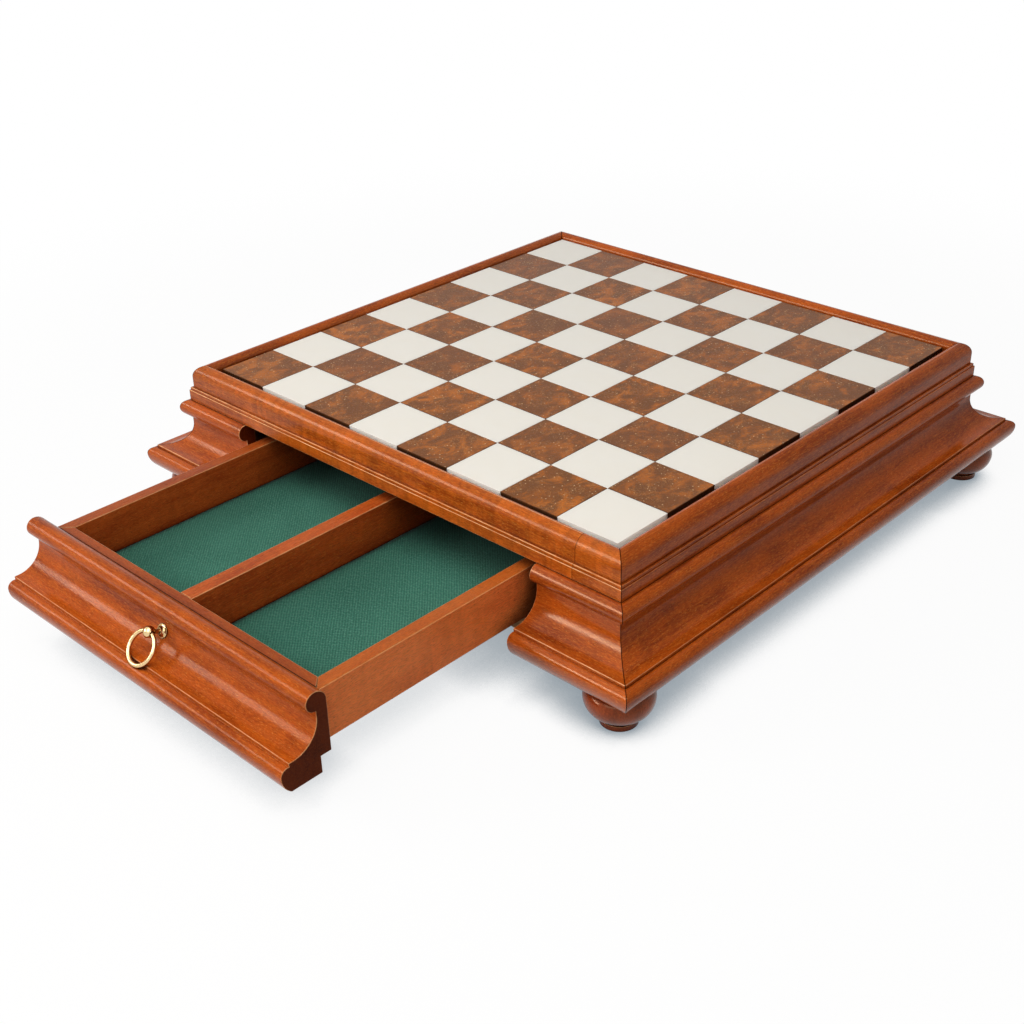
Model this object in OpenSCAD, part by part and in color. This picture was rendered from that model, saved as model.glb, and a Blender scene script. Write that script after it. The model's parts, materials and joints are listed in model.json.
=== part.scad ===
// Wooden chess box: a stone board in a mitred top frame, a moulded base on four
// turned feet, and one long drawer with two lined compartments and a ring pull.
// Millimetres. The origin is on the floor under the middle of the board, +Z is up,
// +X is to the right and the drawer opens towards -Y.

/* [Board] */
// Side of one square of the board
square = 40; // [36:1:46]
// Thickness of the stone squares
tile_t = 8; // [6:0.5:9]
// Joint between neighbouring squares
tile_joint = 0.2; // [0.1:0.05:0.4]
// Depth of the board below the rim
board_recess = 2.8; // [1.5:0.1:4]
// Gap between the outer squares and the rim
rim_gap = 3.2; // [2:0.1:4]
// Thickness of the panel that the squares are glued to
backing_t = 6; // [4:0.5:7]

/* [Top frame] */
// Height of the rails
rail_h = 23; // [22:0.5:28]
// Reach of the rails beyond the edge of the board
rail_out = 15.8; // [14:0.1:16.5]
// Width of the ledge under the board
ledge_w = 10; // [8:0.5:14]
// Height of the plain band at the foot of the rails
band_h = 7; // [5:0.1:8]
// Height of the narrow step above the band
step_h = 1.8; // [1:0.1:3]
// Set-back of the step from the band
step_in = 0.7; // [0.4:0.1:1]
// Set-back of the rails' upright face from the band
face_in = 2.2; // [1.5:0.1:3]
// Radius of the rim's outer round
rim_r = 7.4; // [6:0.1:9]
// Radius of the rim's inner round
lip_r = 5; // [3:0.1:6]
// Distance of the front rail's butt joint from the middle
rail_joint_x = 144; // [130:1:150]

/* [Base moulding] */
// Height of the base moulding
base_h = 48; // [46:0.5:54]
// Distance of the moulding's back from the edge of the board
base_back = 9.2; // [6:0.2:10]
// Distance of the rebate for the bottom panel from the edge of the board
rebate_out = 15.5; // [14:0.1:18]
// Distance of the neck under the bead from the edge of the board
neck_out = 15.9; // [15.5:0.1:17]
// Radius of the bead at the top
bead_r = 5.3; // [4.5:0.1:5.8]
// Radius of the cove
cove_r = 15.5; // [14:0.1:16]
// Height of the fillet under the cove
fillet_z = 17.2; // [17:0.1:18]
// Reach of the fillet beyond the edge of the board
fillet_out = 33.8; // [33:0.1:34.5]
// Reach of the torus, the widest part of the box
torus_out = 38.9; // [38:0.1:41]
// Height of the torus's widest line
torus_z = 11.1; // [10.5:0.1:12]
// Radius of the torus above its widest line
torus_r = 4.3; // [3.8:0.1:4.6]
// Radius of the torus below its widest line
torus_low_r = 12.5; // [11.5:0.1:16]

/* [Case] */
// Thickness of the bottom panel
bottom_t = 10; // [8:0.5:10]
// Width of the drawer's opening
opening_w = 240; // [220:1:250]
// Thickness of the walls that guide the drawer
guide_t = 10; // [8:0.5:14]
// Width of the strips above the drawer's sides
kicker_w = 12; // [8:0.5:16]
// Width of the strip that stops the open drawer
stop_t = 10; // [8:0.5:16]
// Length of the strip that stops the open drawer
stop_len = 100; // [60:5:140]
// Side of the glued blocks in the corners
block_w = 28; // [22:1:32]

/* [Feet] */
// Height of the feet
foot_h = 22.5; // [20:0.5:28]
// Largest radius of the feet
foot_r = 18.8; // [17:0.1:21]
// Radius of the ring that the feet stand on
foot_ring_r = 10.3; // [9:0.1:11.5]
// Height of the ring that the feet stand on
foot_ring_h = 3.2; // [2:0.1:4]
// Radius of the feet's bun above its widest line
bun_top_r = 6; // [4:0.5:8]
// Distance of the feet's axes from the edges of the board
foot_out = 16; // [14:0.5:18]
// Radius of the feet's tenons
tenon_r = 5; // [4:0.5:6]
// Length of the feet's tenons
tenon_len = 16; // [12:0.5:16.5]

/* [Drawer] */
// How far the drawer stands open
drawer_open = 145; // [0:1:228]
// Furthest that the drawer opens
drawer_travel = 230; // [200:5:260]
// Gap at each end of the drawer's face
face_end_gap = 1.5; // [0.8:0.1:3]
// Gap above the drawer's face
face_top_gap = 1.2; // [0.8:0.1:2]
// Set-in of the drawer box from the ends of the face
box_inset = 7.5; // [3:0.5:12]
// Thickness of the drawer's sides
side_t = 8; // [6:0.5:10]
// Thickness of the drawer box's front and back
end_t = 8; // [6:0.5:10]
// Thickness of the divider
divider_t = 9.5; // [6:0.5:12]
// Gap above the drawer box
box_top_gap = 8; // [3.5:0.1:9]
// Gap behind the closed drawer box
box_back_gap = 9.4; // [5:0.2:20]
// Thickness of the drawer's bottom
drawer_bottom_t = 3.4; // [2.5:0.1:4]
// Thickness of the cloth lining
lining_t = 1.2; // [0.8:0.1:2]
// Gap beside the drawer box
side_clear = 1; // [0.5:0.1:2]

/* [Ring pull] */
// Upward tilt of the pull's post
pull_tilt = 23; // [20:1:26]
// Distance of the pull's ball from the face
pull_reach = 8.4; // [8:0.1:10]
// Radius of the ball
ball_r = 3.2; // [2.8:0.1:3.5]
// Radius of the pull's flange
flange_r = 3.8; // [3.4:0.1:4.4]
// Radius of the ring at the middle of its wire
ring_r = 9; // [7.5:0.1:9.5]
// Radius of the ring's wire
wire_r = 1.15; // [0.7:0.05:1.2]
// Outward swing of the ring as it leans on the face
ring_swing = 41; // [40:0.5:60]

/* [Hidden] */
$fn = 64;

// Sides of the box, each named by the way it faces
BACK = [0, 1];
LEFT = [-1, 0];
FRONT = [0, -1];
RIGHT = [1, 0];

// Small clearances and small shared sizes
glue_gap = 0.3;      // left round a panel that is let in
run_gap = 0.3;       // between the drawer and what it slides on
bore_gap = 0.05;     // round a screw or a tenon
kicker_gap = 0.8;    // between the drawer's sides and the kickers
face_low_gap = 1;    // the face's lower edge above the case's lower edge
rebate_gap = 0.5;    // between the face's rebate and the bottom panel
stop_gap = 0.4;      // between the stop and the lug at the full opening
stop_bite = 2.1;     // how much of the lug meets the stop
lug_len = 60;        // width of the lug on the drawer's back
groove_d = 1;        // depth of the groove between a foot's bun and its ring
groove_h = 1.3;      // height of that groove in the middle of the bun
let_in = 4;          // width of the rebates that hold the drawer's bottom
past = 1;            // how far a cut runs past what it cuts
far = 400;           // longer than any piece

// The board and the heights of the layers, from the floor up
count = 8;
half = count * square / 2;
ledge_t = rail_h - board_recess - tile_t - backing_t;
z_base = foot_h;
z_panel = z_base + bottom_t;
z_rail = z_base + base_h;
z_backing = z_rail + ledge_t;
z_squares = z_backing + backing_t;

// The drawer: its box fits the opening, its guides fit the box
face_half = opening_w / 2 - face_end_gap;
face_top = base_h - face_top_gap;
box_x = face_half - box_inset;
box_y0 = -half - base_back;
box_y1 = half + base_back - box_back_gap;
z_box = z_panel + run_gap;
z_box_top = z_rail - box_top_gap;
z_floor = z_box + drawer_bottom_t;
guide_x = box_x + side_clear;
guide_y = half - ledge_w - glue_gap;

// The ring pull's post stands square to the cove and points at its axis
cove_d = neck_out + cove_r;
cove_z = z_base + fillet_z + cove_r;
pull_d = cove_d - cove_r * cos(pull_tilt);
pull_z = cove_z - cove_r * sin(pull_tilt);
seat = 0.3;          // height of the flange's seat over the bottom of the cove
stem_r = 1.1;
shank_len = 11;
eye_r = wire_r + 0.4;
hang = ring_r - 0.25;  // from the eye's axis to the ring's centre

// Screws
panel_screw_r = 1.6;
panel_screw_len = 24;
face_screw_r = 1.4;
face_screw_len = 11;
screw_rows = [-1, 0, 1];
screw_spots = concat(
    [for (side = [-1, 1], r = screw_rows) [side * (guide_x + guide_t / 2), r * guide_y * 0.8]],
    [for (x = [-1, 1], y = [-1, 1]) [x, y] * (half + base_back - block_w / 2)]);
face_screw_spots = [for (k = [-3, -1, 1, 3]) k * box_x / 4];
face_screw_z = (z_box + z_box_top) / 2;

WALNUT = "#7c3a1a";
OAK = "#b98a5a";

// Section of the top rails: x is the distance out from the board, y the height
module rail_section() {
    translate([-ledge_w, 0]) square([ledge_w + rail_out, ledge_t]);
    translate([rim_gap, 0]) square([rail_out - rim_gap, band_h]);
    translate([rim_gap, 0]) square([rail_out - step_in - rim_gap, band_h + step_h]);
    intersection() {
        translate([rail_out - face_in, 0]) mirror([1, 0]) round_shoulder(rim_r);
        translate([rim_gap, 0]) round_shoulder(lip_r);
    }
}

// What lies behind an upright face at x = 0 that is rounded over into a top at the rail's height
module round_shoulder(r) {
    square([far, rail_h - r]);
    translate([r, 0]) square([far, rail_h]);
    translate([r, rail_h - r]) circle(r);
}

// Section of the base moulding, and of the drawer's face that is cut from it
module moulding_section(low, top, rebate_z, round_back) {
    axis_z = fillet_z + cove_r;
    translate([torus_out - torus_r, torus_z]) circle(torus_r);
    intersection() {
        translate([torus_out - torus_low_r, torus_z]) circle(torus_low_r);
        translate([rebate_out, low]) square([far, torus_z - low]);
    }
    translate([rebate_out, low]) square([torus_out - torus_low_r - rebate_out, torus_z]);
    translate([rebate_out, torus_z]) square([fillet_out - rebate_out, fillet_z - torus_z]);
    difference() {
        translate([base_back, rebate_z]) square([cove_d - base_back, axis_z - rebate_z]);
        translate([cove_d, axis_z]) circle(cove_r);
    }
    translate([base_back, rebate_z]) square([neck_out - base_back, top - bead_r - rebate_z]);
    translate([neck_out, top - bead_r]) circle(bead_r);
    top_block(top, round_back);
}

// Back of the bead, square where it carries the top frame and round on the drawer
module top_block(top, round_back) {
    depth = neck_out - base_back;
    if (round_back) {
        intersection() {
            translate([neck_out, top - depth]) circle(depth);
            translate([base_back, 0]) square([depth, top]);
        }
        translate([base_back, top - 2 * depth]) square([depth, depth]);
    } else {
        translate([base_back, top - 2 * depth]) square([depth, 2 * depth]);
    }
}

// A straight run of a section along one side, mitred at both ends
module mitred_run(side) {
    reach = half + torus_out + past;
    rotate([0, 0, atan2(-side[0], side[1])]) intersection() {
        translate([-reach, half, 0]) rotate([90, 0, 90]) linear_extrude(2 * reach) children();
        linear_extrude(far, center = true) polygon([[0, 0], [reach, reach], [-reach, reach]]);
    }
}

// The part of a piece between two planes across X
module between_x(x0, x1) {
    intersection() {
        children();
        translate([x0, -far, -past]) cube([x1 - x0, 2 * far, far]);
    }
}

// A box from its low corner to its high corner
module block(a, b) {
    translate(a) cube(b - a);
}

module wood_screw(r, len, grow = 0) {
    head_r = 2 * r;
    difference() {
        union() {
            cylinder(r = r + grow, h = len + grow);
            cylinder(r1 = head_r + grow, r2 = r + grow, h = r);
        }
        if (grow == 0) {
            for (a = [0, 90]) rotate([0, 0, a]) translate([-r, -r / 6, -past]) cube([2 * r, r / 3, past + r / 2]);
        }
    }
}

module at_foot(sx, sy) {
    translate([sx, sy, 0] * (half + foot_out)) children();
}

// What is drilled out of the case for the feet's tenons
module tenon_holes() {
    for (sx = [-1, 1], sy = [-1, 1]) {
        at_foot(sx, sy) translate([0, 0, z_base - past]) cylinder(r = tenon_r + bore_gap, h = tenon_len + 2 * past);
    }
}

// What is drilled out of the case for the screws in its bottom
module panel_screw_holes() {
    for (p = screw_spots) translate([p[0], p[1], z_base]) wood_screw(panel_screw_r, panel_screw_len, bore_gap);
}

// ---- top frame ----

module top_rail(side) {
    translate([0, 0, z_rail]) mitred_run(side) rail_section();
}

module top_rail_front() {
    color(WALNUT) between_x(-far, rail_joint_x) top_rail(FRONT);
}

module top_rail_front_end() {
    color(WALNUT) between_x(rail_joint_x, far) top_rail(FRONT);
}

module top_rail_back() {
    color(WALNUT) top_rail(BACK);
}

module top_rail_left() {
    color(WALNUT) top_rail(LEFT);
}

module top_rail_right() {
    color(WALNUT) top_rail(RIGHT);
}

// ---- base moulding ----

module base_moulding(side) {
    difference() {
        translate([0, 0, z_base]) mitred_run(side) moulding_section(0, base_h, bottom_t, false);
        tenon_holes();
    }
}

module base_front_left() {
    color(WALNUT) between_x(-far, -opening_w / 2) base_moulding(FRONT);
}

module base_front_right() {
    color(WALNUT) between_x(opening_w / 2, far) base_moulding(FRONT);
}

module base_back() {
    color(WALNUT) base_moulding(BACK);
}

module base_left() {
    color(WALNUT) base_moulding(LEFT);
}

module base_right() {
    color(WALNUT) base_moulding(RIGHT);
}

// ---- board ----

module board_backing() {
    edge = half + rim_gap - glue_gap;
    color(OAK) block([-edge, -edge, z_backing], [edge, edge, z_squares]);
}

module squares(parity) {
    for (i = [0 : count - 1], j = [0 : count - 1]) {
        if ((i + j) % 2 == parity) {
            translate([i * square - half, j * square - half, z_squares]) {
                block([1, 1, 0] * tile_joint / 2, [square - tile_joint / 2, square - tile_joint / 2, tile_t]);
            }
        }
    }
}

module light_squares() {
    color("#efeae0") squares(1);
}

module dark_squares() {
    color("#7a4424") squares(0);
}

// ---- inside of the case ----

module bottom_panel() {
    edge = half + rebate_out - glue_gap;
    color(OAK) difference() {
        block([-edge, -edge, z_base], [edge, edge, z_panel]);
        tenon_holes();
        panel_screw_holes();
    }
}

// A strip inside the case, from x0 to x1 on the right or mirrored to the left
module inner_strip(side, x0, x1, z0) {
    scale_xy(side, 1) block([x0, -guide_y, z0], [x1, guide_y, z_backing]);
}

module guide(side) {
    color(OAK) difference() {
        inner_strip(side, guide_x, guide_x + guide_t, z_panel);
        panel_screw_holes();
    }
}

module guide_left() {
    guide(-1);
}

module guide_right() {
    guide(1);
}

module kicker(side) {
    color(OAK) inner_strip(side, guide_x - kicker_w, guide_x, z_box_top + kicker_gap);
}

module kicker_left() {
    kicker(-1);
}

module kicker_right() {
    kicker(1);
}

// The lug on the drawer's back meets this strip when the drawer is fully open
module drawer_stop() {
    y1 = box_y1 - end_t - drawer_travel - stop_gap;
    color(OAK) block([-stop_len / 2, y1 - stop_t, z_box_top + kicker_gap], [stop_len / 2, y1, z_backing]);
}

module corner_block(sx, sy) {
    outer = half + base_back;
    color(OAK) scale_xy(sx, sy) difference() {
        block([outer - block_w, outer - block_w, z_panel], [outer, outer, z_rail]);
        panel_screw_holes();
    }
}

// Mirrors a piece made in the +X +Y corner into another corner
module scale_xy(sx, sy) {
    mirror([sx < 0 ? 1 : 0, 0, 0]) mirror([0, sy < 0 ? 1 : 0, 0]) children();
}

module block_front_left() {
    corner_block(-1, -1);
}

module block_front_right() {
    corner_block(1, -1);
}

module block_back_left() {
    corner_block(-1, 1);
}

module block_back_right() {
    corner_block(1, 1);
}

module panel_screws() {
    color("silver") for (p = screw_spots) {
        translate([p[0], p[1], z_base]) wood_screw(panel_screw_r, panel_screw_len);
    }
}

// ---- feet ----

// Section of the feet: x is the distance from the axis
module foot_section() {
    wide_z = foot_h - bun_top_r;
    bun_low_r = wide_z - foot_ring_h - groove_h;
    difference() {
        union() {
            bun_half(bun_top_r, wide_z, wide_z);
            bun_half(bun_low_r, wide_z, wide_z - bun_low_r);
            square([foot_ring_r, foot_ring_h]);
            square([foot_ring_r - groove_d, wide_z]);
        }
        translate([-far, -far]) square([far, 2 * far]);
    }
}

// The bun above or below its widest line, which is rounded over with radius r from z0 upwards
module bun_half(r, wide_z, z0) {
    translate([-far, z0]) square([far + foot_r - r, r]);
    intersection() {
        translate([foot_r - r, wide_z]) circle(r);
        translate([-far, z0]) square([2 * far, r]);
    }
}

module foot(sx, sy) {
    color("#6b2f1a") at_foot(sx, sy) {
        rotate_extrude() foot_section();
        translate([0, 0, z_base - past]) cylinder(r = tenon_r, h = tenon_len + past);
    }
}

module foot_front_left() {
    foot(-1, -1);
}

module foot_front_right() {
    foot(1, -1);
}

module foot_back_left() {
    foot(-1, 1);
}

module foot_back_right() {
    foot(1, 1);
}

// ---- drawer ----

// Pieces of the drawer are made in their closed place and slid out
module slid_out() {
    translate([0, -drawer_open, 0]) children();
}

// Mitre at the corners of the drawer box: what belongs to its front and back
module box_ends() {
    linear_extrude(far) {
        polygon([[-box_x, box_y0], [box_x, box_y0], [0, box_y0 + box_x]]);
        polygon([[-box_x, box_y1], [box_x, box_y1], [0, box_y1 - box_x]]);
    }
}

// What is cut away from the box's lower inner edges for its bottom
module bottom_rebate() {
    block([let_in - box_x, box_y0 + let_in, z_box - past], [box_x - let_in, box_y1 - let_in, z_floor]);
}

module drawer_face() {
    color(WALNUT) slid_out() difference() {
        translate([0, 0, z_base]) between_x(-face_half, face_half) mitred_run(FRONT)
            moulding_section(face_low_gap, face_top, bottom_t + rebate_gap, true);
        pull_holes();
        face_screw_holes();
    }
}

module drawer_front() {
    color(WALNUT) slid_out() difference() {
        intersection() {
            block([-box_x, box_y0, z_box], [box_x, box_y0 + end_t, z_box_top]);
            box_ends();
        }
        bottom_rebate();
        pull_holes();
        face_screw_holes();
    }
}

module drawer_back() {
    lug_top = z_box_top + kicker_gap + stop_bite;
    color(WALNUT) slid_out() difference() {
        union() {
            intersection() {
                block([-box_x, box_y1 - end_t, z_box], [box_x, box_y1, z_box_top]);
                box_ends();
            }
            block([-lug_len / 2, box_y1 - end_t, z_floor], [lug_len / 2, box_y1, lug_top]);
        }
        bottom_rebate();
    }
}

module drawer_side(side) {
    color(WALNUT) slid_out() scale_xy(side, 1) difference() {
        block([box_x - side_t, box_y0, z_box], [box_x, box_y1, z_box_top]);
        box_ends();
        bottom_rebate();
    }
}

module drawer_left() {
    drawer_side(-1);
}

module drawer_right() {
    drawer_side(1);
}

module drawer_bottom() {
    edge_in = let_in + glue_gap;
    color(OAK) slid_out() {
        block([edge_in - box_x, box_y0 + edge_in, z_box], [box_x - edge_in, box_y1 - edge_in, z_floor]);
    }
}

module drawer_divider() {
    color(WALNUT) slid_out() {
        block([-divider_t / 2, box_y0 + end_t, z_floor], [divider_t / 2, box_y1 - end_t, z_box_top]);
    }
}

module lining(side) {
    color("#1f5c46") slid_out() scale_xy(side, 1) {
        block([divider_t / 2 + glue_gap, box_y0 + end_t + glue_gap, z_floor],
              [box_x - side_t - glue_gap, box_y1 - end_t - glue_gap, z_floor + lining_t]);
    }
}

module lining_left() {
    lining(-1);
}

module lining_right() {
    lining(1);
}

module at_face_screws() {
    for (x = face_screw_spots) translate([x, box_y0 + end_t, face_screw_z]) rotate([90, 0, 0]) children();
}

module face_screw_holes() {
    at_face_screws() wood_screw(face_screw_r, face_screw_len, bore_gap);
}

module face_screws() {
    color("silver") slid_out() at_face_screws() wood_screw(face_screw_r, face_screw_len);
}

// ---- ring pull ----

// Puts a piece on the cove, with its own +Z along the post
module on_cove() {
    translate([0, -half - pull_d, pull_z]) rotate([90 - pull_tilt, 0, 0]) children();
}

module pull_holes() {
    on_cove() {
        translate([0, 0, -shank_len - bore_gap]) cylinder(r = stem_r + bore_gap, h = shank_len + seat + past);
        translate([0, 0, seat]) cylinder(r = flange_r + bore_gap, h = past);
    }
}

module pull_flange() {
    rim_t = 0.5;
    throat_r = 1.9;
    flare_r = flange_r - throat_r;
    color("gold") slid_out() on_cove() translate([0, 0, seat]) rotate_extrude() difference() {
        translate([stem_r + bore_gap, 0]) square([flange_r - stem_r - bore_gap, rim_t + flare_r]);
        translate([flange_r, rim_t + flare_r]) circle(flare_r);
    }
}

module pull_post() {
    color("gold") slid_out() on_cove() difference() {
        union() {
            translate([0, 0, -shank_len]) cylinder(r = stem_r, h = shank_len + pull_reach);
            translate([0, 0, pull_reach]) sphere(ball_r);
        }
        translate([0, 0, pull_reach]) rotate([0, 90, 0]) cylinder(r = eye_r, h = 2 * ball_r + 2 * past, center = true);
    }
}

module pull_ring() {
    hinge_y = -half - pull_d - pull_reach * cos(pull_tilt);
    hinge_z = pull_z + pull_reach * sin(pull_tilt);
    color("gold") slid_out() translate([0, hinge_y, hinge_z]) rotate([90 - ring_swing, 0, 0])
        translate([0, -hang, 0]) rotate_extrude() translate([ring_r, 0]) circle(wire_r);
}

top_rail_front();
top_rail_front_end();
top_rail_back();
top_rail_left();
top_rail_right();
base_front_left();
base_front_right();
base_back();
base_left();
base_right();
bottom_panel();
board_backing();
light_squares();
dark_squares();
guide_left();
guide_right();
kicker_left();
kicker_right();
drawer_stop();
block_front_left();
block_front_right();
block_back_left();
block_back_right();
foot_front_left();
foot_front_right();
foot_back_left();
foot_back_right();
panel_screws();
drawer_face();
drawer_front();
drawer_back();
drawer_left();
drawer_right();
drawer_bottom();
drawer_divider();
lining_left();
lining_right();
face_screws();
pull_flange();
pull_post();
pull_ring();
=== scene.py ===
"""Looks of a wooden chess box with a stone board and a lined drawer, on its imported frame.

Metres, in the frame's own axes: the origin is on the floor under the middle of the board,
+Z is up and the drawer opens towards -Y. Materials work in millimetres.
"""

import json
import math
from collections import namedtuple

import bpy
from mathutils import Matrix, Vector, noise


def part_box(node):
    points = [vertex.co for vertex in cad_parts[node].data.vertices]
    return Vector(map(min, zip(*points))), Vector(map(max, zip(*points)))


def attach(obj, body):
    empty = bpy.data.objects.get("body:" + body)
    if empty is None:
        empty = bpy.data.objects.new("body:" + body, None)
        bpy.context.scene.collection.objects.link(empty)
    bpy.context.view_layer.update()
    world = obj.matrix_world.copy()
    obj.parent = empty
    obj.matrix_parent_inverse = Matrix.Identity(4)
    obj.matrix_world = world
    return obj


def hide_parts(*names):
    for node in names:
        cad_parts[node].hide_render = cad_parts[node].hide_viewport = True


MM = 0.001
SQUARES = 8

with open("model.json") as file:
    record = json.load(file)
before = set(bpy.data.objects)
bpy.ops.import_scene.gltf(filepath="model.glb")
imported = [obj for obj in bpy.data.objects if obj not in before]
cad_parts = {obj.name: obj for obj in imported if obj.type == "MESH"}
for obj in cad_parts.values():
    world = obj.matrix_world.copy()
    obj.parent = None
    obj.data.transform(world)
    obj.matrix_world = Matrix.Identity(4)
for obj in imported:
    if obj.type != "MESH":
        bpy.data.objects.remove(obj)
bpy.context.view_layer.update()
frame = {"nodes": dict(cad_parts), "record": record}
nodes = frame["nodes"]
slots = {part["node"]: part["material_slot"] for part in frame["record"]["subparts"]}
board_low, board_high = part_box("light_squares")
SQUARE = (board_high.x - board_low.x) / SQUARES
BOARD_TOP = board_high.z
RAIL_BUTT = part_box("top_rail_front_end")[0].x
BOX_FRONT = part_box("drawer_front")[0].y
BOX_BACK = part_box("drawer_back")[1].y
BOX_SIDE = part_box("drawer_right")[1].x


# ---- camera ----

def make_camera():
    """The photograph's view, found from the corners of the board's squares."""
    centre = Vector((0.54072, -0.62904, BOARD_TOP + 0.36248))
    azimuth = math.radians(43.954)
    elevation = math.radians(29.699)
    roll = math.radians(-1.31)
    photo_width = 1024
    focal_pixels = 1432.3
    level = math.cos(elevation)
    back = Vector((math.sin(azimuth) * level, -math.cos(azimuth) * level, math.sin(elevation)))
    right = Vector((math.cos(azimuth), math.sin(azimuth), 0))
    up = back.cross(right)
    turned_right = math.cos(roll) * right + math.sin(roll) * up
    turned_up = back.cross(turned_right)
    data = bpy.data.cameras.new("camera")
    data.sensor_width = 36
    data.lens = data.sensor_width * (focal_pixels / photo_width)
    data.clip_start = 0.01
    camera = bpy.data.objects.new("camera", data)
    place = Matrix((turned_right, turned_up, back)).transposed().to_4x4()
    place.translation = centre
    camera.matrix_world = place
    bpy.context.scene.collection.objects.link(camera)
    bpy.context.scene.camera = camera


# ---- short calls that build a node tree ----

def rgba(value):
    """A colour of three numbers gets its fourth, and any other value stays as it is."""
    return (*value, 1.0) if isinstance(value, tuple) and len(value) == 3 else value


class Nodes:
    """A node tree and short calls that add to it."""

    def __init__(self, tree):
        self.tree = tree

    def node(self, kind, **settings):
        """A new node, set up by its properties."""
        made = self.tree.nodes.new("ShaderNode" + kind)
        for key, value in settings.items():
            setattr(made, key, value)
        return made

    def put(self, value, socket):
        """Links an output to a socket, or sets the socket to a plain value."""
        if isinstance(value, bpy.types.NodeSocket):
            self.tree.links.new(value, socket)
        else:
            socket.default_value = value

    def fill(self, made, *values):
        """Puts values into a node's first inputs and gives its first output."""
        for value, socket in zip(values, made.inputs):
            self.put(value, socket)
        return made.outputs[0]

    def math(self, operation, *values):
        """A number worked out from others."""
        return self.fill(self.node("Math", operation=operation), *values)

    def ramp(self, value, start, end, low=0.0, high=1.0):
        """Smooth step of a value from low at start to high at end."""
        made = self.node("MapRange", interpolation_type="SMOOTHSTEP")
        return self.fill(made, value, start, end, low, high)

    def mix(self, factor, a, b, blend="MIX"):
        """Colour a at factor 0 and colour b, or both blended, at factor 1."""
        made = self.node("Mix", data_type="RGBA", blend_type=blend)
        self.put(factor, made.inputs["Factor"])
        self.put(rgba(a), made.inputs["A"])
        self.put(rgba(b), made.inputs["B"])
        return next(s for s in made.outputs if s.type == "RGBA")

    def split(self, vector):
        """The three numbers of a vector."""
        made = self.node("SeparateXYZ")
        self.fill(made, vector)
        return made.outputs[:]


class Shader(Nodes):
    """A material. Its places and sizes are in millimetres."""

    def __init__(self, name):
        self.material = bpy.data.materials.new(name)
        self.material.use_nodes = True
        super().__init__(self.material.node_tree)
        self.surface = self.tree.nodes["Principled BSDF"]
        self.output = self.tree.nodes["Material Output"]

    def vector(self, operation, *values):
        """A vector worked out from others."""
        return self.fill(self.node("VectorMath", operation=operation), *values)

    def join(self, x, y, z):
        """A vector made of three numbers."""
        return self.fill(self.node("CombineXYZ"), x, y, z)

    def place(self):
        """Where a point of the surface is."""
        made = self.node("VectorMath", operation="SCALE")
        self.put(self.node("TexCoord").outputs["Object"], made.inputs["Vector"])
        made.inputs["Scale"].default_value = 1 / MM
        return made.outputs["Vector"]

    def noise(self, vector, size, detail=2.0, rough=0.5, twist=0.0, offset=0.0):
        """Noise whose features have a size along each of the three axes."""
        scaled = self.vector("DIVIDE", vector, size)
        if offset:
            scaled = self.vector("ADD", scaled, (offset, 1.7 * offset, 2.3 * offset))
        made = self.node("TexNoise")
        self.put(scaled, made.inputs["Vector"])
        made.inputs["Scale"].default_value = 1.0
        made.inputs["Detail"].default_value = detail
        made.inputs["Roughness"].default_value = rough
        made.inputs["Distortion"].default_value = twist
        return made.outputs[0]

    def thin_lines(self, value, width):
        """1 where a noise crosses its middle, fading to 0 over a width."""
        away = self.math("ABSOLUTE", self.math("SUBTRACT", value, 0.5))
        return self.ramp(away, 0.0, width, 1.0, 0.0)

    def tinted(self, colour, tint):
        """A colour multiplied by another."""
        return self.mix(1.0, colour, tint, "MULTIPLY")

    def bump(self, height, distance, strength):
        """Relief of the surface: the height runs from 0 to 1 and stands for a distance."""
        made = self.node("Bump")
        self.put(height, made.inputs["Height"])
        made.inputs["Distance"].default_value = distance * MM
        made.inputs["Strength"].default_value = strength
        self.put(made.outputs[0], self.surface.inputs["Normal"])

    def blend(self, factor, a, b):
        """One surface shader faded into another."""
        return self.fill(self.node("MixShader"), factor, a, b)

    def finish(self, **values):
        """Sets the shader's own sockets, named with _ for a space."""
        for key, value in values.items():
            self.put(rgba(value), self.surface.inputs[key.replace("_", " ")])
        return self.material


# ---- shade in creases, where light hardly reaches ----

CASE_REACH = 110
CREASE_SAMPLES = 6


def crease(shader, reach, samples=CREASE_SAMPLES):
    """0 deep in a crease and 1 in the open. Only what stands closer than the reach counts."""
    open_sky = shader.node("AmbientOcclusion", samples=samples, only_local=False)
    open_sky.inputs["Distance"].default_value = reach * MM
    return open_sky.outputs["AO"]


def in_case(shader):
    """How deep in the case's shade a part of the drawer is: 0 in the open, near 1 far inside."""
    return shader.ramp(crease(shader, CASE_REACH), 0.05, 0.36, 0.92, 0.0)


# ---- wood ----

# A wood's dark, middle and light colour.
MAHOGANY = ((0.24, 0.034, 0.004), (0.42, 0.07, 0.006), (0.58, 0.132, 0.014))
GOLDEN = ((0.27, 0.043, 0.005), (0.47, 0.09, 0.008), (0.63, 0.165, 0.018))
DRAWER = ((0.34, 0.047, 0.007), (0.48, 0.084, 0.012), (0.6, 0.134, 0.023))
PALE_DRAWER = ((0.72, 0.158, 0.036), (0.85, 0.208, 0.05), (0.9, 0.26, 0.066))
TURNED = ((0.2, 0.03, 0.008), (0.31, 0.05, 0.012), (0.38, 0.068, 0.018))
PLAIN = ((0.3, 0.16, 0.075), (0.45, 0.26, 0.13), (0.55, 0.34, 0.18))

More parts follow.
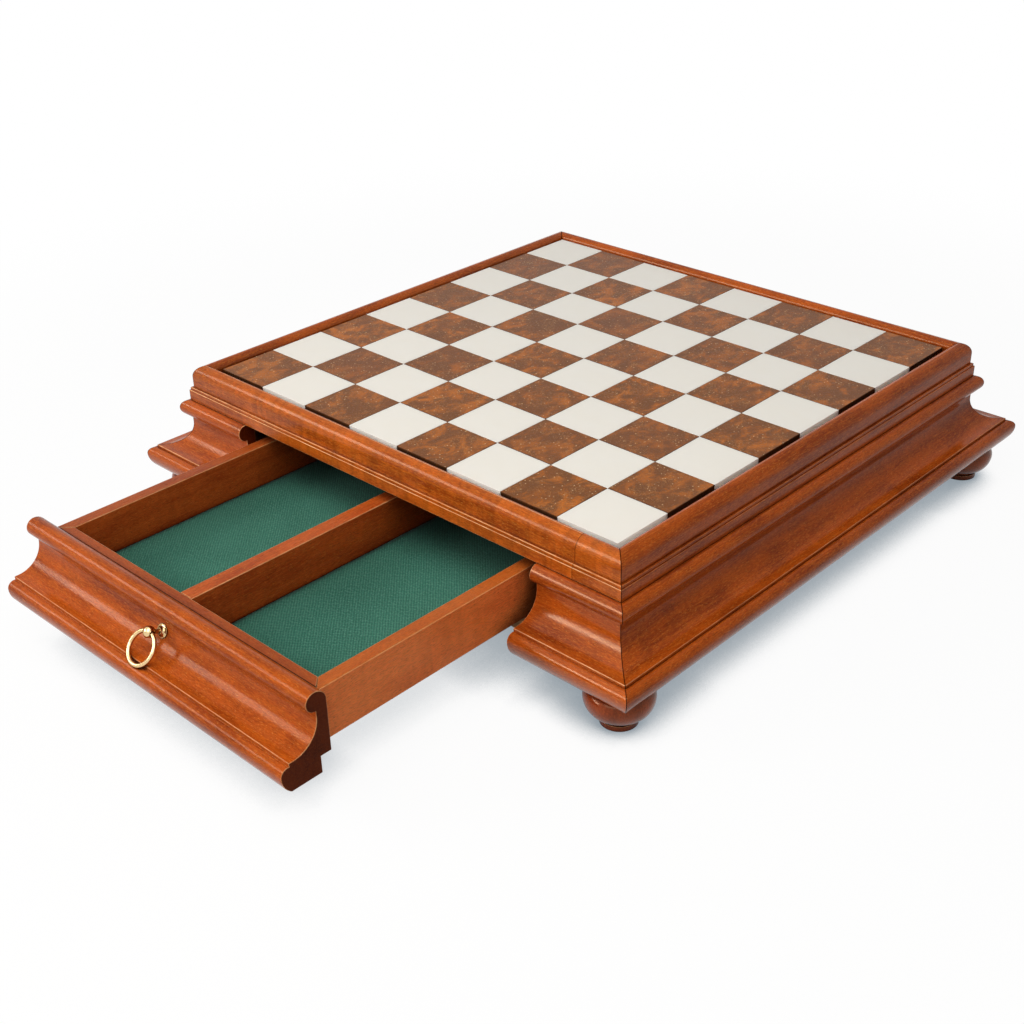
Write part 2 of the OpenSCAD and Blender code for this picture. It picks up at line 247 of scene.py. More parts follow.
PORE = (0.1, 0.02, 0.004)
RAY = (0.7, 0.26, 0.05)
END_GRAIN_TINT = (0.25, 0.2, 0.25)
RUBBED_AND_HIGHLIGHT = (0.9, 0.48, 0.22)
CASE_SHADE = (0.012, 0.004, 0.003)
HOLLOW_SHADE = (0.07, 0.012, 0.003)
SHADE_AND_JOINTS = (0.022, 0.005, 0.002)
LACQUER_GLINT = (1.0, 0.68, 0.45)

HOLLOW_REACH = 10
CREASE_SHADE_REACH = 2.4
LINE_BLUR = 0.3

# The frame's axes in the order along the grain, then the two across it.
AXES = {"x": (0, 1, 2), "y": (1, 0, 2), "z": (2, 0, 1)}

# A glue line, or a painted shadow line, a x + b y = c on the plan, with a depth of colour and a half
# width in millimetres. One that is on both sides takes |x| for x.
Seam = namedtuple("Seam", "a b c depth width both_sides")


def mitres(front, back, depth, width):
    """A frame's mitres: |x| + y is front in those at the front and |x| - y is back in the others."""
    return Seam(1, 1, front, depth, width, True), Seam(1, -1, back, depth, width, True)


def grain_place(shader, along):
    """A place turned to the grain, how squarely its surface cuts the grain, and how much it faces up."""
    order = AXES[along]
    x_y_z = shader.split(shader.place())
    place = shader.join(*(x_y_z[i] for i in order))
    normal = shader.split(shader.node("TexCoord").outputs["Normal"])
    across = shader.ramp(shader.math("ABSOLUTE", normal[order[0]]), 0.8, 0.93)
    upward = shader.ramp(normal[2], 0.8, 0.93)
    return place, across, upward


def clean_grain(shader, place, tones, seed, figure):
    """Colour and relief of unworn wood. Figure is how strongly it shimmers and shows its rays."""
    dark, middle, light = tones
    broad = shader.noise(place, (60, 12, 12), detail=3, rough=0.55, twist=0.4, offset=seed)
    streak = shader.noise(place, (18, 1.1, 1.1), detail=4, rough=0.65, twist=0.4, offset=seed)
    fleck = shader.noise(place, (3.5, 0.7, 0.7), detail=3, rough=0.65, offset=seed + 2)
    fine = shader.noise(place, (2.4, 0.4, 0.4), offset=seed)
    ribbon = shader.noise(place, (6, 30, 30), twist=0.8, offset=seed + 3)
    pores = shader.ramp(shader.noise(place, (2.4, 0.3, 0.3), detail=1, offset=seed), 0.6, 0.7)
    rays = shader.ramp(shader.noise(place, (1.8, 0.5, 0.5), detail=1, offset=seed + 5), 0.62, 0.72)
    ray_depth = min(0.35, 7 * figure)

    colour = shader.mix(shader.ramp(broad, 0.32, 0.6), dark, middle)
    colour = shader.mix(shader.ramp(streak, 0.4, 0.72, 0.0, 0.45), colour, light)
    colour = shader.mix(shader.ramp(fleck, 0.45, 0.7, 0.0, 0.45), colour, light)
    shade = shader.ramp(ribbon, 0.3, 0.7, 1 - figure, 1 + figure)
    shade = shader.math("MULTIPLY", shade, shader.ramp(fine, 0.3, 0.7, 0.86, 1.12))
    colour = shader.tinted(colour, shader.join(shade, shade, shade))
    colour = shader.mix(shader.math("MULTIPLY", pores, 0.5), colour, PORE)
    colour = shader.mix(shader.math("MULTIPLY", rays, ray_depth), colour, RAY)
    relief = shader.math("MULTIPLY_ADD", pores, -0.8, shader.math("MULTIPLY", fine, 0.25))
    return colour, relief


def seam_and_shadow_lines(shader, seams_and_shadow_lines):
    """The dark glue lines and painted shadow lines of a piece: their depth on a line and 0 beside it."""
    x, y, _ = shader.split(shader.place())
    found = None
    for dark_line in seams_and_shadow_lines:
        sideways = shader.math("ABSOLUTE", x) if dark_line.both_sides else x
        side = shader.math("MULTIPLY_ADD", sideways, dark_line.a, shader.math("MULTIPLY", y, dark_line.b))
        away = shader.math("ABSOLUTE", shader.math("SUBTRACT", side, dark_line.c))
        line = shader.ramp(away, dark_line.width - LINE_BLUR, dark_line.width, dark_line.depth, 0.0)
        found = line if found is None else shader.math("MAXIMUM", found, line)
    return found


def wood(name, along, tones, seed, figure, gloss, shine, wear_and_highlight, seams_and_shadow_lines, top_shade, shaded):
    """Stained and lacquered hardwood with its grain along one axis. Painted shade in the case, in
    hollows, in creases and on some upward faces; paler worn arrises that are also a painted highlight.
    """
    shader = Shader(name)
    place, across, upward = grain_place(shader, along)
    colour, relief = clean_grain(shader, place, tones, seed, figure)
    colour = shader.mix(across, colour, shader.tinted(colour, END_GRAIN_TINT))
    # Paler worn arrises, which also stand as a painted highlight.
    if wear_and_highlight:
        rubbed_and_highlight = shader.noise(place, (9, 5, 5), detail=3, offset=seed + 9)
        colour = shader.mix(shader.ramp(rubbed_and_highlight, 0.3, 0.7, 0.45 * wear_and_highlight, wear_and_highlight), colour, RUBBED_AND_HIGHLIGHT)
    # Painted shade on the upward faces of some pieces.
    if top_shade:
        colour = shader.mix(upward, colour, shader.tinted(colour, top_shade))
    if shaded:
        colour = shader.mix(in_case(shader), colour, CASE_SHADE)
    hollow = shader.ramp(crease(shader, HOLLOW_REACH), 0.2, 0.75, 0.6, 0.0)
    colour = shader.mix(hollow, colour, HOLLOW_SHADE)
    # Painted shade in narrow creases, joined by the dark glue lines and the painted shadow lines. It also
    # dulls the lacquer there.
    shade_and_joint_lines = shader.ramp(crease(shader, CREASE_SHADE_REACH), 0.35, 0.8, 0.88, 0.0)
    if seams_and_shadow_lines:
        shade_and_joint_lines = shader.math("MAXIMUM", shade_and_joint_lines, seam_and_shadow_lines(shader, seams_and_shadow_lines))
    colour = shader.mix(shade_and_joint_lines, colour, SHADE_AND_JOINTS)
    dull = shader.math("MAXIMUM", shade_and_joint_lines, shader.math("MULTIPLY", across, 0.7))
    level = shader.math("MULTIPLY", shader.math("SUBTRACT", 1.0, dull), shine)

    lacquer = shader.noise(place, (14, 5, 5), detail=1, offset=seed + 1)
    relief = shader.math("MULTIPLY_ADD", lacquer, 0.5, relief)
    shader.bump(relief, 0.02, min(0.3, 6 * figure))
    film = shader.noise(place, (22, 6, 6), detail=3, offset=seed + 7)
    roughness = shader.ramp(film, 0.3, 0.7, gloss - 0.04, gloss + 0.05)
    return shader.finish(Base_Color=colour, Roughness=roughness, Specular_IOR_Level=level,
                         Specular_Tint=LACQUER_GLINT)


# ---- stone ----

CREAM = (0.935, 0.897, 0.825)
CREAM_CLOUD = (0.93, 0.888, 0.81)
CREAM_VEIN = (0.7, 0.64, 0.54)
CREAM_SIDE_PAINTED_LIGHT = (1.0, 0.95, 0.85)
LIGHT_THROUGH = (1.0, 0.96, 0.9)

UMBER = (0.195, 0.067, 0.016)
UMBER_CLOUD = (0.255, 0.076, 0.013)
RUST = (0.56, 0.155, 0.014)
GREY_LOT = (0.2, 0.072, 0.03)
GRIT = (0.17, 0.065, 0.018)
CURL = (0.7, 0.34, 0.11)
SPECK = (0.85, 0.55, 0.28)
SIDE_SHADE_AND_EDGE_LINES = (0.03, 0.013, 0.007)

SPECK_CELL = 2.4


def in_squares(shader, place):
    """A place in squares of the board."""
    return shader.vector("DIVIDE", place, (SQUARE / MM,) * 3)


def tile_number(shader, place):
    """Column and row of the square that a point is on, so that no two squares look alike."""
    column, row, _ = shader.split(shader.vector("FLOOR", in_squares(shader, place)))
    return shader.join(column, row, 0.0)


def tile_rim(shader, place):
    """0.7 along the edges of a square and 0 inside them."""
    inside = shader.vector("FRACTION", in_squares(shader, place))
    centred = shader.vector("ABSOLUTE", shader.vector("SUBTRACT", inside, (0.5, 0.5, 0.5)))
    x, y, _ = shader.split(centred)
    return shader.ramp(shader.math("MAXIMUM", x, y), 0.488, 0.497, 0.0, 0.7)


def below_top(shader, place):
    """1 on the sides of the squares and 0 on their tops."""
    top = BOARD_TOP / MM
    return shader.ramp(shader.split(place)[2], top - 0.7, top - 0.25, 1.0, 0.0)


def specks(shader, vector):
    """1 on small round spots, one in some of the cells of a grid."""
    cells = shader.node("TexVoronoi")
    shader.put(shader.vector("DIVIDE", vector, (SPECK_CELL,) * 3), cells.inputs["Vector"])
    cells.inputs["Scale"].default_value = 1.0
    chosen = shader.ramp(shader.split(cells.outputs["Color"])[0], 0.5, 0.6)
    spot = shader.ramp(cells.outputs["Distance"], 0.1, 0.22, 1.0, 0.0)
    return shader.math("MULTIPLY", chosen, spot)


def light_stone():
    """Creamy white alabaster, polished, with faint clouds and veins, and painted light on its sides.
    Light goes through its sides.
    """
    shader = Shader("light_alabaster")
    place = shader.place()
    moved = shader.vector("MULTIPLY_ADD", tile_number(shader, place), (37, 53, 0), place)
    cloud = shader.noise(moved, (26, 18, 20), detail=4, rough=0.6, twist=0.8)
    vein = shader.noise(moved, (14, 30, 14), detail=5, rough=0.6, twist=1.6, offset=4)
    side = below_top(shader, place)
    vein = shader.math("MULTIPLY", shader.thin_lines(vein, 0.03), 0.005)
    colour = shader.mix(shader.ramp(cloud, 0.3, 0.7), CREAM, CREAM_CLOUD)
    colour = shader.mix(vein, colour, CREAM_VEIN)
    # Painted light: the squares' sides are paler than their tops.
    colour = shader.mix(side, colour, CREAM_SIDE_PAINTED_LIGHT)
    shader.bump(shader.noise(moved, (9, 9, 9), detail=1), 0.003, 0.2)
    shader.surface.inputs["Subsurface Radius"].default_value = LIGHT_THROUGH
    return shader.finish(Base_Color=colour, Roughness=shader.ramp(cloud, 0.3, 0.7, 0.28, 0.3),
                         Specular_IOR_Level=0.15, Subsurface_Weight=shader.ramp(side, 0.0, 1.0, 0.2, 1.0),
                         Subsurface_Scale=5 * MM)


def rusty(shader, tile, moved, cloud):
    """Colour of the dark stone before its fine marks: dull brown, rust patches, each square its own."""
    band = shader.noise(moved, (12, 17, 12), detail=6, rough=0.64, twist=1.2, offset=2)
    patches = shader.math("MULTIPLY_ADD", band, 0.55, shader.math("MULTIPLY", cloud, 0.5))
    colour = shader.mix(shader.ramp(cloud, 0.35, 0.65), UMBER, UMBER_CLOUD)
    colour = shader.mix(shader.ramp(patches, 0.49, 0.64), colour, RUST)
    lot = shader.node("TexWhiteNoise")
    shader.put(tile, lot.inputs["Vector"])
    return shader.mix(shader.math("MULTIPLY", lot.outputs["Value"], 0.5), colour, GREY_LOT)


def dark_stone():
    """Brown stained alabaster, polished: dull brown with rust patches, streaks, pale specks and dark edge
    lines, and painted shade on its sides.
    """
    shader = Shader("dark_alabaster")
    place = shader.place()
    tile = tile_number(shader, place)
    moved = shader.vector("MULTIPLY_ADD", tile, (61, 47, 0), place)
    cloud = shader.noise(moved, (13, 19, 14), detail=6, rough=0.66, twist=0.8)
    grit = shader.noise(moved, (1.1, 1.3, 1.1), detail=3, rough=0.7, twist=0.5, offset=6)
    gathered = shader.ramp(shader.noise(moved, (9, 9, 9), offset=9), 0.4, 0.6)
    swirl = shader.noise(moved, (5, 5, 5), detail=3, twist=2.0, offset=11)
    curl = shader.thin_lines(swirl, 0.025)
    curl = shader.math("MULTIPLY", curl, shader.math("MULTIPLY", gathered, 0.45))
    side = shader.math("MULTIPLY", below_top(shader, place), 0.9)
    colour = rusty(shader, tile, moved, cloud)
    colour = shader.mix(shader.ramp(grit, 0.4, 0.65, 0.0, 0.45), colour, GRIT)
    colour = shader.mix(curl, colour, CURL)
    colour = shader.mix(shader.math("MULTIPLY", specks(shader, moved), 0.75), colour, SPECK)
    # Painted shade: the squares' sides nearly black, together with dark lines along the squares' edges.
    colour = shader.mix(shader.math("MAXIMUM", side, tile_rim(shader, place)), colour, SIDE_SHADE_AND_EDGE_LINES)
    shader.bump(shader.math("MULTIPLY_ADD", grit, 0.5, cloud), 0.008, 0.3)
    roughness = shader.ramp(grit, 0.3, 0.7, 0.2, 0.3)
    return shader.finish(Base_Color=colour, Roughness=roughness, Specular_IOR_Level=0.07)


# ---- cloth ----

GREEN = (0.052, 0.215, 0.15)
GREEN_SLUB = (0.074, 0.262, 0.195)
GREEN_PATCH = (0.02, 0.1, 0.07)
GREEN_GRAIN = (0.12, 0.34, 0.25)
GREEN_GAP = (0.003, 0.03, 0.024)
GREEN_CREASE_SHADE = (0.003, 0.025, 0.022)
GREEN_SHADE = (0.002, 0.015, 0.014)

THREAD = 1.0
CLOTH_SHADE_REACH = 16


def weave(shader, place):
    """Height of a plain weave, warp and weft over and under in turn, and the fuzz on its threads."""
    wander = shader.math("MULTIPLY", shader.noise(place, (12, 12, 12)), 0.6)
    x, y, _ = shader.split(shader.vector("ADD", place, shader.join(wander, wander, 0.0)))
    warp = shader.math("SINE", shader.math("MULTIPLY", x, math.pi / THREAD))
    weft = shader.math("SINE", shader.math("MULTIPLY", y, math.pi / THREAD))
    fuzz = shader.noise(place, (0.35, 0.35, 0.35), offset=3)
    return shader.math("MULTIPLY_ADD", shader.math("MULTIPLY", warp, weft), 0.5, fuzz), fuzz


def baize():
    """Green woven cloth, its threads along and across the drawer, with painted shade near close parts and
    deep in the case.
    """
    shader = Shader("green_baize")
    place = shader.place()
    over, fuzz = weave(shader, place)
    slub = shader.noise(place, (0.9, 14, 1), detail=3, offset=1)
    slub = shader.math("ADD", slub, shader.noise(place, (14, 0.9, 1), detail=3, offset=2))
    patch = shader.noise(place, (40, 40, 40), detail=3, offset=5)
    grain = shader.noise(place, (1.2, 1.2, 1.2), offset=7)
    # Painted shade where other parts stand close to the cloth.
    crease_shade = shader.ramp(crease(shader, CLOTH_SHADE_REACH), 0.45, 0.9, 0.4, 0.0)
    colour = shader.mix(shader.ramp(slub, 0.9, 1.25, 0.0, 0.4), GREEN, GREEN_SLUB)
    colour = shader.mix(shader.ramp(patch, 0.35, 0.7, 0.0, 0.25), colour, GREEN_PATCH)
    colour = shader.mix(shader.ramp(grain, 0.4, 0.7, 0.0, 0.6), colour, GREEN_GRAIN)
    colour = shader.mix(shader.ramp(over, 0.15, 0.8, 0.5, 0.0), colour, GREEN_GAP)
    colour = shader.mix(crease_shade, colour, GREEN_CREASE_SHADE)
    colour = shader.mix(in_case(shader), colour, GREEN_SHADE)
    shader.bump(shader.math("MULTIPLY_ADD", fuzz, 0.25, over), 0.25, 0.9)
    return shader.finish(Base_Color=colour, Roughness=shader.ramp(fuzz, 0.3, 0.7, 0.82, 0.98),
                         Sheen_Weight=0.04, Sheen_Roughness=0.5, Specular_IOR_Level=0.1)


# ---- metal ----

# A metal's bright and cloudy colour, and the dark colour of its painted shade close to the wood.
BRASS = ((0.84, 0.6, 0.32), (0.64, 0.41, 0.18), (0.1, 0.045, 0.012))
STEEL = ((0.6, 0.6, 0.58), (0.45, 0.45, 0.44), (0.2, 0.2, 0.2))
METAL_EDGE_GLINT = (0.2, 0.1, 0.04)

NEAR_WOOD_SHADE_REACH = 8


def metal(name, tones, smooth, rough):
    """Polished metal with cloudy wear and fine scratches, and painted shade where it is close to the
    wood.
    """
    bright, cloudy, near_wood_shade_colour = tones
    shader = Shader(name)
    place = shader.place()
    cloud = shader.noise(place, (3, 3, 3), detail=4, rough=0.6)
    scratch = shader.noise(place, (0.08, 1.5, 0.08), offset=3)
    roughness = shader.ramp(cloud, 0.3, 0.7, smooth, rough)
    # Painted shade: darker where the wood stands close.
    near_wood_shade = shader.ramp(crease(shader, NEAR_WOOD_SHADE_REACH), 0.35, 0.9, 0.92, 0.0)
    colour = shader.mix(shader.ramp(cloud, 0.35, 0.75, 0.0, 0.6), bright, cloudy)
    colour = shader.mix(near_wood_shade, colour, near_wood_shade_colour)
    shader.bump(scratch, 0.004, 0.3)
    return shader.finish(Base_Color=colour, Metallic=1.0, Roughness=roughness,
                         Specular_Tint=METAL_EDGE_GLINT)


# ---- edges ----

WELD_REACH = 0.002 * MM
JOINT_REACH = 0.15 * MM
FLAT_ANGLE = math.radians(0.4)
ARRIS_ANGLE = math.radians(24)


def geometry_nodes(name):
    """An empty geometry tree, the socket its geometry comes from and the one it goes to."""
    tree = bpy.data.node_groups.new(name, "GeometryNodeTree")
    for way in ("INPUT", "OUTPUT"):
        tree.interface.new_socket("Geometry", in_out=way, socket_type="NodeSocketGeometry")
    start = tree.nodes.new("NodeGroupInput").outputs[0]
    end = tree.nodes.new("NodeGroupOutput").inputs[0]
    return Nodes(tree), start, end


def geometry_socket(sockets):
    """The one of a node's inputs or outputs that geometry goes through."""
    return sockets["Geometry"] if "Geometry" in sockets else sockets["Mesh"]


def chain(group, start, end, *made):
    """Links nodes that take and give geometry one after another."""
    for node in made:
        group.put(start, geometry_socket(node.inputs))
        start = geometry_socket(node.outputs)
    group.put(start, end)


def weld_tree():
    """Joins the faces of a mesh that came in as loose patches."""
    group, start, end = geometry_nodes("weld")
    weld = group.tree.nodes.new("GeometryNodeMergeByDistance")
    weld.inputs["Distance"].default_value = WELD_REACH
    normals = group.tree.nodes.new("GeometryNodeRemoveAttribute")
    normals.inputs["Name"].default_value = "custom_normal"
    chain(group, start, end, weld, normals)
    return group.tree


def store(group, name, value, kind="FLOAT"):
    """Keeps a value on the edges under a name."""
    made = group.tree.nodes.new("GeometryNodeStoreNamedAttribute")
    made.data_type = kind
    made.domain = "EDGE"
    made.inputs["Name"].default_value = name
    group.put(value, made.inputs["Value"])
    return made


def compare(group, operation, value, limit):
    """Whether a number is above or below a limit."""
    made = group.tree.nodes.new("FunctionNodeCompare")
    made.data_type = "FLOAT"
    made.operation = operation
    return group.fill(made, value, limit)


def from_joints(group):
    """How far an edge is from the planes of the case's mitres and of the front rail's butt joint."""
    x, y, _ = group.split(group.tree.nodes.new("GeometryNodeInputPosition").outputs[0])
    aside = group.math("SUBTRACT", group.math("ABSOLUTE", x), group.math("ABSOLUTE", y))
    from_mitre = group.math("ABSOLUTE", aside)
    from_butt = group.math("ABSOLUTE", group.math("SUBTRACT", x, RAIL_BUTT))
    return group.math("MINIMUM", from_mitre, from_butt)


def arris_tree():
    """Marks outward edges to be rounded over, and keeps inward ones, mitres and the butt joint sharp."""
    group, start, end = geometry_nodes("arris")
    angle = group.tree.nodes.new("GeometryNodeInputMeshEdgeAngle").outputs["Signed Angle"]
    smooth = group.tree.nodes.new("GeometryNodeSetShadeSmooth")
    smooth.domain = "FACE"
    away = from_joints(group)
    outward = compare(group, "GREATER_THAN", angle, ARRIS_ANGLE)
    inward = compare(group, "LESS_THAN", angle, -ARRIS_ANGLE)
    rounded = group.math("MULTIPLY", outward, compare(group, "GREATER_THAN", away, JOINT_REACH))
    joint = group.math("MULTIPLY", outward, compare(group, "LESS_EQUAL", away, JOINT_REACH))
    sharp = group.math("MAXIMUM", joint, inward)
    chain(group, start, end, smooth, store(group, "bevel_weight_edge", rounded),
          store(group, "sharp_edge", sharp, "BOOLEAN"))
    return group.tree


WELD = weld_tree()
ARRIS = arris_tree()


def round_edges(piece, width):
    """Rounds a CAD piece's outward edges over by a width in millimetres: arrises catch the light."""
    weld = piece.modifiers.new("weld", "NODES")
    weld.node_group = WELD
    flat = piece.modifiers.new("flat", "DECIMATE")
    flat.decimate_type = "DISSOLVE"
    flat.angle_limit = FLAT_ANGLE
    marks = piece.modifiers.new("arris", "NODES")
    marks.node_group = ARRIS
    bevel = piece.modifiers.new("round", "BEVEL")
    bevel.limit_method = "WEIGHT"
    bevel.width = width * MM
    bevel.segments = 2
    bevel.use_clamp_overlap = False
    bevel.material = len(piece.material_slots) - 1
    normals = piece.modifiers.new("normals", "WEIGHTED_NORMAL")
    normals.keep_sharp = True


def paint(name, *materials):
    """Gives a CAD node its materials: the first for its faces, the last for its arrises."""
    piece = nodes[name]
    piece.data.materials.clear()
    for material in materials:
        piece.data.materials.append(material)
    return piece


# ---- pieces of wood ----

# A slot's tones, the roughness of its lacquer, its shine and the width of its arrises in millimetres.
Finish = namedtuple("Finish", "tones gloss shine arris")
FINISHES = {
    "stained_wood": Finish(MAHOGANY, 0.17, 0.27, 0.35),
    "drawer_wood": Finish(DRAWER, 0.28, 0.12, 0.45),
    "turned_wood": Finish(TURNED, 0.15, 0.35, 0.3),
    "plain_wood": Finish(PLAIN, 0.6, 0.1, 0.5),
}

# What single pieces have instead of their slot's.
TONES = {"drawer_right": PALE_DRAWER, "top_rail_front": GOLDEN, "top_rail_front_end": GOLDEN}
SHINES = {"top_rail_right": 0.1, "top_rail_front": 0.22, "top_rail_front_end": 0.33, "base_right": 0.1,
          "base_front_right": 0.5, "base_front_left": 0.22, "drawer_face": 0.13}

# What the upward faces of single pieces are multiplied by: painted shade, as the box's rims are each lit
# their own way.
TOP_SHADES = {"drawer_right": (0.6, 0.54, 0.35), "drawer_left": (0.76, 0.8, 0.85),
             "drawer_front": (0.76, 0.76, 0.76)}

ALONG_X = ("top_rail_front", "top_rail_front_end", "top_rail_back", "base_front_left",
           "base_front_right", "base_back", "drawer_face", "drawer_front", "drawer_back",
           "drawer_stop", "drawer_bottom", "bottom_panel", "board_backing")
DRAWER_BOX = ("drawer_front", "drawer_back", "drawer_left", "drawer_right")

CASE_SEAMS = mitres(0, 0, depth=0.9, width=0.5)
BUTT_SEAMS = (Seam(1, 0, RAIL_BUTT / MM, 0.55, 0.45, False),)
BOX_SEAMS = mitres(BOX_SIDE / MM + BOX_FRONT / MM, BOX_SIDE / MM - BOX_BACK / MM, depth=0.45, width=0.5)
# Painted shadow on the top of the drawer's front board, along the back of the face's bead.
BEAD_SHADOW_LINE = (Seam(0, 1, BOX_FRONT / MM, 0.95, 2.6, False),)

# Each piece's noise starts this far from the last one's, so that no two have the same grain.
SEED_STEP = 1.37


def grain_axis(name):
    """The frame's axis that a piece's grain runs along."""
    if name in ALONG_X:
        return "x"
    return "z" if name.startswith(("foot_", "block_")) else "y"


def figure_of(name):
    """How strongly a piece's grain shimmers."""
    if name.startswith("top_rail_front"):
        return 0.14
    return 0.02 if name.startswith("foot") else 0.05


def wear_and_highlight_of(name):
    """How far the stain is rubbed off a piece's arrises: a paler colour that is also a painted highlight
    along them.
    """
    if "front" in name:
        return 0.8
    if name == "drawer_face":
        return 0.5
    if name.startswith("top_rail"):
        return 0.15
    return 0.3 if name.startswith("base") else 0.6


def seams_and_shadow_lines_of(name):
    """The glue lines that a piece shows, and the painted shadow line on the drawer's front board."""
    found = ()
    if name.startswith(("top_rail", "base")):
        found += CASE_SEAMS
    if name.startswith("top_rail_front"):
        found += BUTT_SEAMS
    if name in DRAWER_BOX:
        found += BOX_SEAMS
    if name == "drawer_front":
        found += BEAD_SHADOW_LINE
    return found


def dress_wood():
    """Gives every wooden piece one material for its faces and one for its arrises, worn and with a
    painted highlight.
    """
    for number, name in enumerate(sorted(nodes)):
        slot = slots[name]
        if slot not in FINISHES:
            continue
        finish = FINISHES[slot]
        look = {
            "along": grain_axis(name),
            "tones": TONES.get(name, finish.tones),
            "seed": number * SEED_STEP,
            "figure": figure_of(name),
            "gloss": finish.gloss,
            "shine": SHINES.get(name, finish.shine),
            "seams_and_shadow_lines": seams_and_shadow_lines_of(name),
            "top_shade": TOP_SHADES.get(name),
            "shaded": slot == "drawer_wood",
        }
        faces = wood(f"{slot}_{name}", wear_and_highlight=0.0, **look)
        arrises = wood(f"{slot}_{name}_arris", wear_and_highlight=wear_and_highlight_of(name), **look)
        round_edges(paint(name, faces, arrises), finish.arris)


# ---- pieces of stone, metal and cloth ----

STONE_ARRIS = 0.18
BRASS_ARRIS = 0.12
STEEL_ARRIS = 0.1

CLOTH_CELL = 3 * MM
WAVES_PER_METRE = 28
CURLS_PER_METRE = 60


def dress_stone():
    """Gives the board's squares their stone."""
    round_edges(paint("light_squares", light_stone()), STONE_ARRIS)
    round_edges(paint("dark_squares", dark_stone()), STONE_ARRIS)


def dress_metal():
    """Gives the pull and its ring their brass and the screws their steel."""
    brass = metal("polished_brass", BRASS, 0.09, 0.15)
    steel = metal("zinc_steel", STEEL, 0.28, 0.42)
    for name in ("pull_flange", "pull_post", "pull_ring"):
        round_edges(paint(name, brass), BRASS_ARRIS)
    for name in ("panel_screws", "face_screws"):
        round_edges(paint(name, steel), STEEL_ARRIS)


def cloth_points(low, high, columns, rows, margin, lift):
    """Points of a cloth's upper side, row by row: nearly flat, with a slightly wavy edge."""
    points = []
    for j in range(rows + 1):
        for i in range(columns + 1):
            u = i / columns
            v = j / rows
            x = low.x + margin + u * (high.x - low.x - 2 * margin)
            y = low.y + margin + v * (high.y - low.y - 2 * margin)
            rim = min(u * columns, (1 - u) * columns, v * rows, (1 - v) * rows)
            wave = noise.noise(Vector((x, y, low.x)) * WAVES_PER_METRE) * 0.5 + 0.5
            curl = math.exp(-rim) * (noise.noise(Vector((x, y, 1.0)) * CURLS_PER_METRE) + 0.6)
            points.append((x, y, high.z - lift + lift * 0.5 * wave + lift * 0.5 * max(curl, 0.0)))
    return points


def lining(node, cloth):
    """A sheet of cloth laid on the drawer's bottom."""
    low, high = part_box(node)
    columns = round((high.x - low.x) / CLOTH_CELL)
    rows = round((high.y - low.y) / CLOTH_CELL)
    margin = 0.3 * MM
    lift = 0.3 * MM
    across = columns + 1
    faces = [(k, k + 1, k + 1 + across, k + across)
             for j in range(rows) for k in range(j * across, j * across + columns)]
    mesh = bpy.data.meshes.new("cloth_" + node)
    mesh.from_pydata(cloth_points(low, high, columns, rows, margin, lift), [], faces)
    for face in mesh.polygons:
        face.use_smooth = True
    mesh.materials.append(cloth)
    piece = bpy.data.objects.new("cloth_" + node, mesh)
    bpy.context.scene.collection.objects.link(piece)
    thick = piece.modifiers.new("thickness", "SOLIDIFY")
    thick.thickness = (high.z - low.z) - lift
    thick.offset = -1
    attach(piece, "drawer")
    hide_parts(node)


# ---- floor and light ----

WHITE = (1.0, 1.0, 1.0)
HORIZON = (0.5, 0.51, 0.52)
OVERHEAD = (0.14, 0.15, 0.16)
TABLE_SEEN = (0.95, 0.95, 0.95)
TABLE_UNSEEN = (0.42, 0.42, 0.42)
FLOOR_SHADE = (0.3, 0.35, 0.39)

# Half the side of the floor, in metres.
FLOOR_REACH = 3.0

# In millimetres, how near a piece casts its painted shade on the floor, and the distances from the
# middle between which the floor fades from a share of white to all of it.
FLOOR_SHADE_REACH = 45
FLOOR_SHADE_SAMPLES = 16
FADE_START = 380
FADE_END = 800
FADE_SHARE = 0.94

# The height on a ball of radius 1 where the world has got as dark as overhead.
DARK_HEIGHT = 0.55


def seen_ray(group):
    """1 for the rays that show the background: direct, mirrored or through glass."""
    rays = group.node("LightPath").outputs
    found = rays["Is Camera Ray"]
    for kind in ("Is Glossy Ray", "Is Transmission Ray"):
        found = group.math("MAXIMUM", found, rays[kind])
    return found


def pale_table():
    """The floor: it fades to white away from the object, has a painted contact shadow from the object
    with a little of its real shadow, and is clear from below.
    """
    shader = Shader("pale_table")
    seen = seen_ray(shader)
    table = shader.mix(seen, TABLE_UNSEEN, TABLE_SEEN)
    shader.finish(Base_Color=table, Roughness=0.9, Specular_IOR_Level=0.1)
    # Painted shadow: the floor's white glow is darker where a piece stands close.
    under = shader.ramp(crease(shader, FLOOR_SHADE_REACH, FLOOR_SHADE_SAMPLES), 0.3, 0.65)
    glow = shader.node("Emission")
    shader.put(shader.mix(under, FLOOR_SHADE, WHITE), glow.inputs["Color"])
    glow.inputs["Strength"].default_value = 1.0
    distance = shader.node("VectorMath", operation="LENGTH")
    shader.put(shader.place(), distance.inputs[0])
    fade = shader.ramp(distance.outputs["Value"], FADE_START, FADE_END, FADE_SHARE, 1.0)
    top = shader.blend(shader.math("MULTIPLY", seen, fade), shader.surface.outputs[0], glow.outputs[0])
    from_below = shader.node("NewGeometry").outputs["Backfacing"]
    both = shader.blend(from_below, top, shader.node("BsdfTransparent").outputs[0])
    shader.put(both, shader.output.inputs["Surface"])
    return shader.material


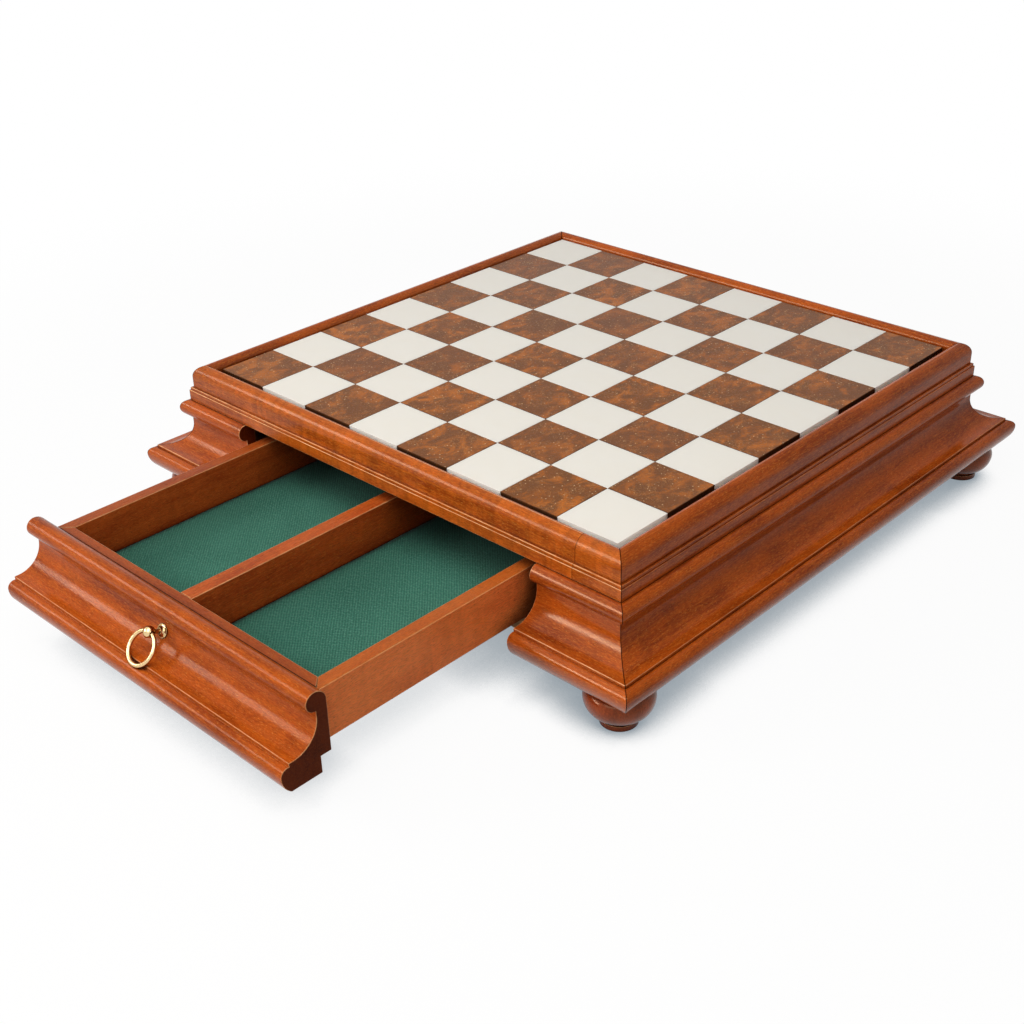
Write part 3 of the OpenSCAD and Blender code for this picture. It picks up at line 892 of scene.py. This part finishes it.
def make_floor():
    """A wide table top under the object."""
    reach = FLOOR_REACH
    corners = [(-reach, -reach, 0), (reach, -reach, 0), (reach, reach, 0), (-reach, reach, 0)]
    mesh = bpy.data.meshes.new("floor")
    mesh.from_pydata(corners, [], [(0, 1, 2, 3)])
    floor = bpy.data.objects.new("floor", mesh)
    bpy.context.scene.collection.objects.link(floor)
    mesh.materials.append(pale_table())


def make_world():
    """Pale grey at eye level, darker overhead, and white where it is seen directly."""
    world = bpy.data.worlds.new("studio")
    bpy.context.scene.world = world
    world.use_nodes = True
    group = Nodes(world.node_tree)
    background = group.tree.nodes["Background"]
    background.inputs["Strength"].default_value = 1.0
    height = group.split(group.node("TexCoord").outputs["Generated"])[2]
    sky = group.mix(group.ramp(height, 0.0, DARK_HEIGHT, 1.0, 0.0), OVERHEAD, HORIZON)
    group.put(group.mix(seen_ray(group), sky, WHITE), background.inputs["Color"])


def softbox(name, towards, distance, width, height, power, colour):
    """A lamp with an even face, turned to the object from one direction."""
    data = bpy.data.lights.new(name, "AREA")
    data.shape = "RECTANGLE"
    data.size = width
    data.size_y = height
    data.energy = power
    data.color = colour
    lamp = bpy.data.objects.new(name, data)
    direction = Vector(towards).normalized()
    lamp.location = direction * distance
    lamp.rotation_mode = "QUATERNION"
    lamp.rotation_quaternion = direction.to_track_quat("Z", "Y")
    bpy.context.scene.collection.objects.link(lamp)


def make_lamps():
    """Soft studio light: a lamp overhead, a low one at the front left and a high one at the front."""
    softbox("top", towards=(0.1, -0.3, 1.0), distance=1.6, width=1.3, height=1.3, power=7.6,
            colour=(1.0, 0.97, 0.93))
    softbox("key", towards=(-0.57, -0.71, 0.46), distance=1.9, width=1.1, height=0.45, power=15,
            colour=(1.0, 0.96, 0.9))
    softbox("fill", towards=(0.3, -0.7, 0.8), distance=1.2, width=0.8, height=0.8, power=4.6,
            colour=(1.0, 0.97, 0.92))


make_camera()
make_floor()
make_world()
make_lamps()
dress_wood()
dress_stone()
dress_metal()
cloth = baize()
for node in ("lining_left", "lining_right"):
    lining(node, cloth)

bpy.context.scene.view_settings.view_transform = "Standard"
